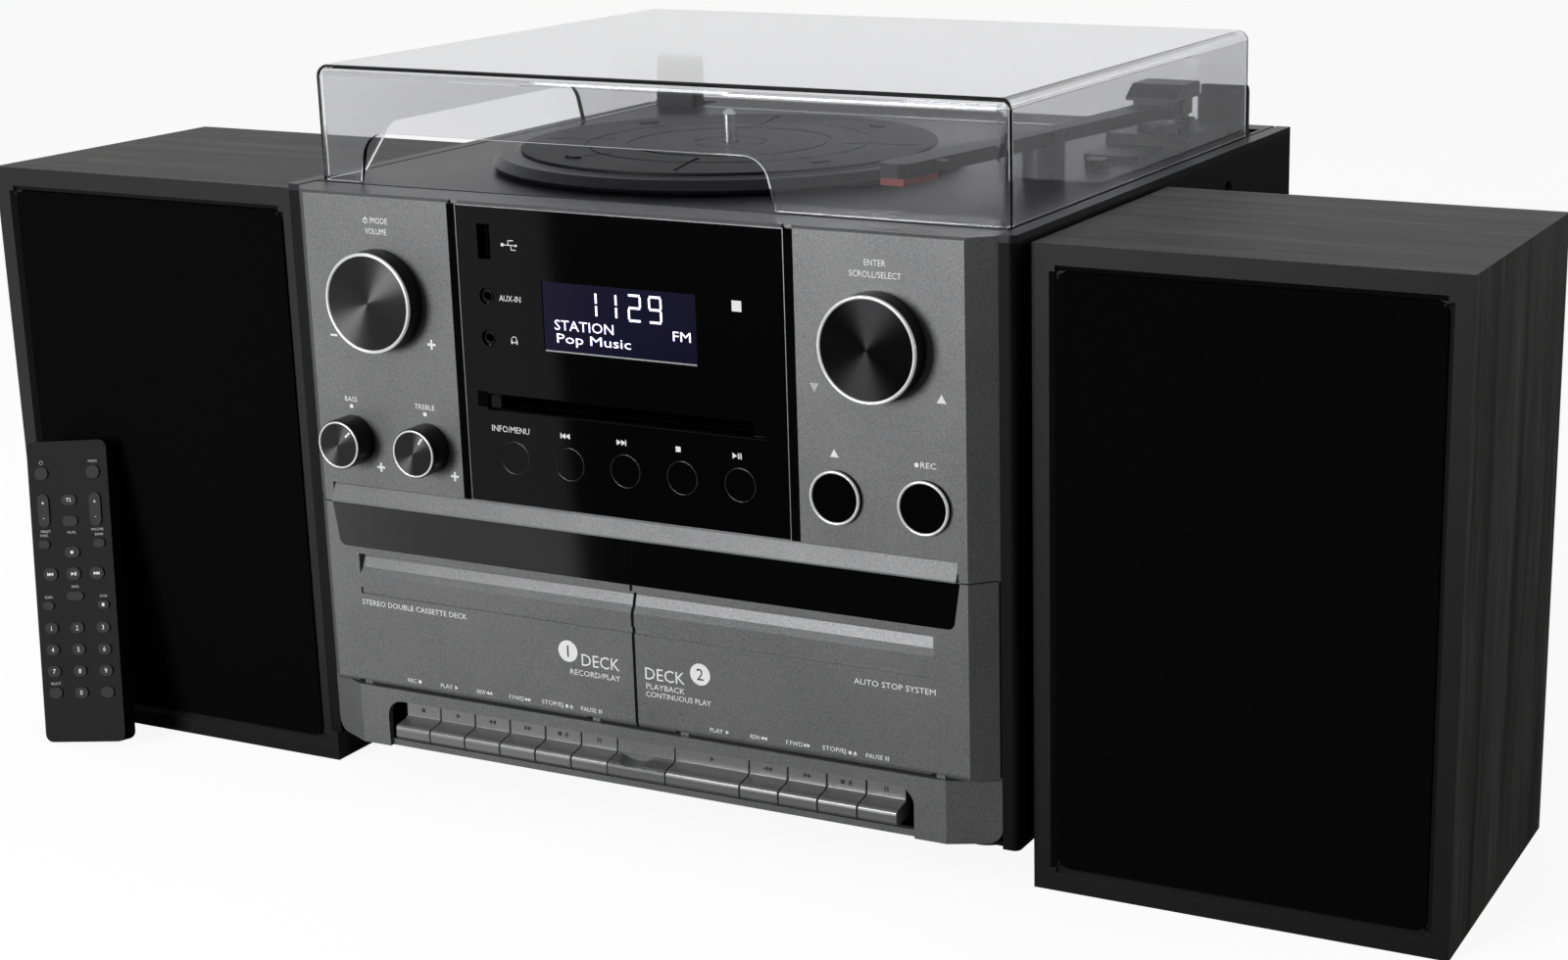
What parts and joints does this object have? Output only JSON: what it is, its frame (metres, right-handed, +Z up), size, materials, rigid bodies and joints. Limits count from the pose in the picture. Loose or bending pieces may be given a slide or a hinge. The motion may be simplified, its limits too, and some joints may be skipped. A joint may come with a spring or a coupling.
{
  "type": "stereo music centre",
  "caption": "Stereo music centre: main unit with turntable under a clear lid, disc player, radio and double cassette deck, two black speakers and a remote control.",
  "frame": {"origin": "on the floor, under the middle of the whole set's bounding box", "axes": "+X to the right of someone who faces the controls, +Y towards the back, +Z up"},
  "size_m": [0.7204, 0.3656, 0.3302],
  "materials": {
    "case_black": "satin black moulding with a fine texture",
    "foot_rubber": "matte",
    "fascia_grey": "dark grey metallic paint",
    "gloss_black": "polished black",
    "display_glass": "dark blue display with pale characters",
    "deck_grey": "satin dark grey",
    "bright_steel": "polished",
    "motor_steel": "plated",
    "belt_rubber": "matte",
    "mechanism": "plated sheet",
    "board_green": "lacquered circuit board",
    "sockets": "moulded plastic and plated rims",
    "screw_black": "blackened",
    "platter_black": "satin",
    "mat_rubber": "ribbed, matte",
    "pulley_brass": "turned",
    "arm_grey": "satin dark grey",
    "cartridge_red": "red plastic",
    "cover_clear": "clear smoky plastic",
    "knob_grey": "metallic face on a black skirt",
    "key_silver": "silver paint",
    "shaft_steel": "turned",
    "wood_vinyl": "black wood-grain foil",
    "grille_cloth": "black woven cloth",
    "cone_paper": "paper cone with a rubber edge",
    "remote_black": "satin black",
    "remote_keys": "silicone keys"
  },
  "bodies": {
    "set": {"cabinet_shell": "case_black", "feet": "foot_rubber", "rear_cover": "case_black", "front_panel": "fascia_grey", "display_panel": "gloss_black", "lcd_module": "display_glass", "deck_plate": "deck_grey", "arm_rest": "deck_grey", "spindle": "bright_steel", "drive_motor": "motor_steel", "drive_belt": "belt_rubber", "tonearm_base": "arm_grey", "cassette_mechanisms": "mechanism", "cd_drive": "mechanism", "main_board": "board_green", "rear_sockets": "sockets", "screws": "screw_black", "speaker_cabinets": "wood_vinyl", "speaker_grilles": "grille_cloth", "speaker_drivers": "cone_paper", "remote_case": "remote_black", "remote_keypad": "remote_keys"},
    "platter": {"platter": "platter_black", "platter_mat": "mat_rubber"},
    "pulley": {"motor_pulley": "pulley_brass"},
    "arm_turret": {"tonearm_yoke": "arm_grey"},
    "tonearm": {"tonearm_tube": "arm_grey", "cartridge": "cartridge_red"},
    "cue": {"cue_lever": "arm_grey"},
    "speed_selector": {"speed_switch": "arm_grey"},
    "lid": {"dust_cover": "cover_clear", "cover_hinges": "case_black"},
    "volume_plunger": {"volume_shaft": "shaft_steel"},
    "volume_dial": {"volume_knob": "knob_grey"},
    "enter_plunger": {"enter_shaft": "shaft_steel"},
    "enter_dial": {"enter_knob": "knob_grey"},
    "bass_dial": {"bass_knob": "knob_grey"},
    "treble_dial": {"treble_knob": "knob_grey"},
    "info_cap": {"info_button": "gloss_black"},
    "previous_cap": {"previous_button": "gloss_black"},
    "next_cap": {"next_button": "gloss_black"},
    "stop_cap": {"stop_button": "gloss_black"},
    "play_cap": {"play_button": "gloss_black"},
    "eject_cap": {"eject_button": "gloss_black"},
    "record_cap": {"record_button": "gloss_black"},
    "deck_left": {"cassette_door_left": "fascia_grey", "door_window_left": "gloss_black"},
    "deck_right": {"cassette_door_right": "fascia_grey", "door_window_right": "gloss_black"},
    "piano_record_1": {"key_record_1": "key_silver"},
    "piano_play_1": {"key_play_1": "key_silver"},
    "piano_rewind_1": {"key_rewind_1": "key_silver"},
    "piano_forward_1": {"key_forward_1": "key_silver"},
    "piano_stop_1": {"key_stop_1": "key_silver"},
    "piano_pause_1": {"key_pause_1": "key_silver"},
    "piano_play_2": {"key_play_2": "key_silver"},
    "piano_rewind_2": {"key_rewind_2": "key_silver"},
    "piano_forward_2": {"key_forward_2": "key_silver"},
    "piano_stop_2": {"key_stop_2": "key_silver"},
    "piano_pause_2": {"key_pause_2": "key_silver"}
  },
  "joints": [
    {"name": "platter_spin", "type": "hinge", "parent": "set", "child": "platter", "pos_m": [-0.0265, -0.01818, 0.2877], "axis": [0, 0, 1], "continuous": true},
    {"name": "pulley_spin", "type": "hinge", "parent": "set", "child": "pulley", "pos_m": [-0.1041, -0.01818, 0.2807], "axis": [0, 0, 1], "continuous": true},
    {"name": "tonearm_swing", "type": "hinge", "parent": "set", "child": "arm_turret", "pos_m": [0.1418, 0.09632, 0.2969], "axis": [0, 0, -1], "range_deg": [0, 31]},
    {"name": "tonearm_lift", "type": "hinge", "parent": "arm_turret", "child": "tonearm", "pos_m": [0.1418, 0.09632, 0.2969], "axis": [-1, 0, 0], "range_deg": [0, 6]},
    {"name": "cue_lever_tilt", "type": "hinge", "parent": "set", "child": "cue", "pos_m": [0.157, 0.08682, 0.2919], "axis": [-1, 0, 0], "range_deg": [0, 45]},
    {"name": "speed_switch_slide", "type": "slide", "parent": "set", "child": "speed_selector", "axis": [0, 1, 0], "range_m": [-0.006, 0.006]},
    {"name": "cover_hinge", "type": "hinge", "parent": "set", "child": "lid", "pos_m": [0, 0.15402, 0.2764], "axis": [-1, 0, 0], "range_deg": [0, 78]},
    {"name": "volume_press", "type": "slide", "parent": "set", "child": "volume_plunger", "axis": [0, 1, 0], "range_m": [0, 0.0008], "stiffness_N_per_m": 900, "springref_m": -0.0015},
    {"name": "volume_turn", "type": "hinge", "parent": "volume_plunger", "child": "volume_dial", "pos_m": [-0.1223, -0.16718, 0.2322], "axis": [0, -1, 0], "continuous": true},
    {"name": "enter_press", "type": "slide", "parent": "set", "child": "enter_plunger", "axis": [0, 1, 0], "range_m": [0, 0.0008], "stiffness_N_per_m": 900, "springref_m": -0.0015},
    {"name": "enter_turn", "type": "hinge", "parent": "enter_plunger", "child": "enter_dial", "pos_m": [0.1223, -0.16718, 0.2322], "axis": [0, -1, 0], "continuous": true},
    {"name": "bass_turn", "type": "hinge", "parent": "set", "child": "bass_dial", "pos_m": [-0.1425, -0.16718, 0.1669], "axis": [0, -1, 0], "range_deg": [-150, 150]},
    {"name": "treble_turn", "type": "hinge", "parent": "set", "child": "treble_dial", "pos_m": [-0.102, -0.16718, 0.1669], "axis": [0, -1, 0], "range_deg": [-150, 150]},
    {"name": "info_press", "type": "slide", "parent": "set", "child": "info_cap", "axis": [0, 1, 0], "range_m": [0, 0.0015], "stiffness_N_per_m": 600, "springref_m": -0.0015},
    {"name": "previous_press", "type": "slide", "parent": "set", "child": "previous_cap", "axis": [0, 1, 0], "range_m": [0, 0.0015], "stiffness_N_per_m": 600, "springref_m": -0.0015},
    {"name": "next_press", "type": "slide", "parent": "set", "child": "next_cap", "axis": [0, 1, 0], "range_m": [0, 0.0015], "stiffness_N_per_m": 600, "springref_m": -0.0015},
    {"name": "stop_press", "type": "slide", "parent": "set", "child": "stop_cap", "axis": [0, 1, 0], "range_m": [0, 0.0015], "stiffness_N_per_m": 600, "springref_m": -0.0015},
    {"name": "play_press", "type": "slide", "parent": "set", "child": "play_cap", "axis": [0, 1, 0], "range_m": [0, 0.0015], "stiffness_N_per_m": 600, "springref_m": -0.0015},
    {"name": "eject_press", "type": "slide", "parent": "set", "child": "eject_cap", "axis": [0, 1, 0], "range_m": [0, 0.0015], "stiffness_N_per_m": 600, "springref_m": -0.0015},
    {"name": "record_press", "type": "slide", "parent": "set", "child": "record_cap", "axis": [0, 1, 0], "range_m": [0, 0.0015], "stiffness_N_per_m": 600, "springref_m": -0.0015},
    {"name": "cassette_door_left_hinge", "type": "hinge", "parent": "set", "child": "deck_left", "pos_m": [-0.08472, -0.15818, 0.0532], "axis": [1, 0, 0], "range_deg": [0, 35]},
    {"name": "cassette_door_right_hinge", "type": "hinge", "parent": "set", "child": "deck_right", "pos_m": [0.08472, -0.15818, 0.0532], "axis": [1, 0, 0], "range_deg": [0, 35]},
    {"name": "key_record_1_press", "type": "hinge", "parent": "set", "child": "piano_record_1", "pos_m": [-0.11837, -0.13718, 0.04], "axis": [1, 0, 0], "range_deg": [0, 5], "stiffness_Nm_per_rad": 0.6, "springref_deg": -8.59},
    {"name": "key_play_1_press", "type": "hinge", "parent": "set", "child": "piano_play_1", "pos_m": [-0.09932, -0.13718, 0.04], "axis": [1, 0, 0], "range_deg": [0, 5], "stiffness_Nm_per_rad": 0.6, "springref_deg": -8.59},
    {"name": "key_rewind_1_press", "type": "hinge", "parent": "set", "child": "piano_rewind_1", "pos_m": [-0.08027, -0.13718, 0.04], "axis": [1, 0, 0], "range_deg": [0, 5], "stiffness_Nm_per_rad": 0.6, "springref_deg": -8.59},
    {"name": "key_forward_1_press", "type": "hinge", "parent": "set", "child": "piano_forward_1", "pos_m": [-0.06123, -0.13718, 0.04], "axis": [1, 0, 0], "range_deg": [0, 5], "stiffness_Nm_per_rad": 0.6, "springref_deg": -8.59},
    {"name": "key_stop_1_press", "type": "hinge", "parent": "set", "child": "piano_stop_1", "pos_m": [-0.04217, -0.13718, 0.04], "axis": [1, 0, 0], "range_deg": [0, 5], "stiffness_Nm_per_rad": 0.6, "springref_deg": -8.59},
    {"name": "key_pause_1_press", "type": "hinge", "parent": "set", "child": "piano_pause_1", "pos_m": [-0.02312, -0.13718, 0.04], "axis": [1, 0, 0], "range_deg": [0, 5], "stiffness_Nm_per_rad": 0.6, "springref_deg": -8.59},
    {"name": "key_play_2_press", "type": "hinge", "parent": "set", "child": "piano_play_2", "pos_m": [0.0346, -0.13718, 0.04], "axis": [1, 0, 0], "range_deg": [0, 5], "stiffness_Nm_per_rad": 0.6, "springref_deg": -8.59},
    {"name": "key_rewind_2_press", "type": "hinge", "parent": "set", "child": "piano_rewind_2", "pos_m": [0.06283, -0.13718, 0.04], "axis": [1, 0, 0], "range_deg": [0, 5], "stiffness_Nm_per_rad": 0.6, "springref_deg": -8.59},
    {"name": "key_forward_2_press", "type": "hinge", "parent": "set", "child": "piano_forward_2", "pos_m": [0.08188, -0.13718, 0.04], "axis": [1, 0, 0], "range_deg": [0, 5], "stiffness_Nm_per_rad": 0.6, "springref_deg": -8.59},
    {"name": "key_stop_2_press", "type": "hinge", "parent": "set", "child": "piano_stop_2", "pos_m": [0.10093, -0.13718, 0.04], "axis": [1, 0, 0], "range_deg": [0, 5], "stiffness_Nm_per_rad": 0.6, "springref_deg": -8.59},
    {"name": "key_pause_2_press", "type": "hinge", "parent": "set", "child": "piano_pause_2", "pos_m": [0.11997, -0.13718, 0.04], "axis": [1, 0, 0], "range_deg": [0, 5], "stiffness_Nm_per_rad": 0.6, "springref_deg": -8.59}
  ],
  "couplings": [
    {"joint": "pulley_spin", "follows": "platter_spin", "ratio": 10.5}
  ]
}
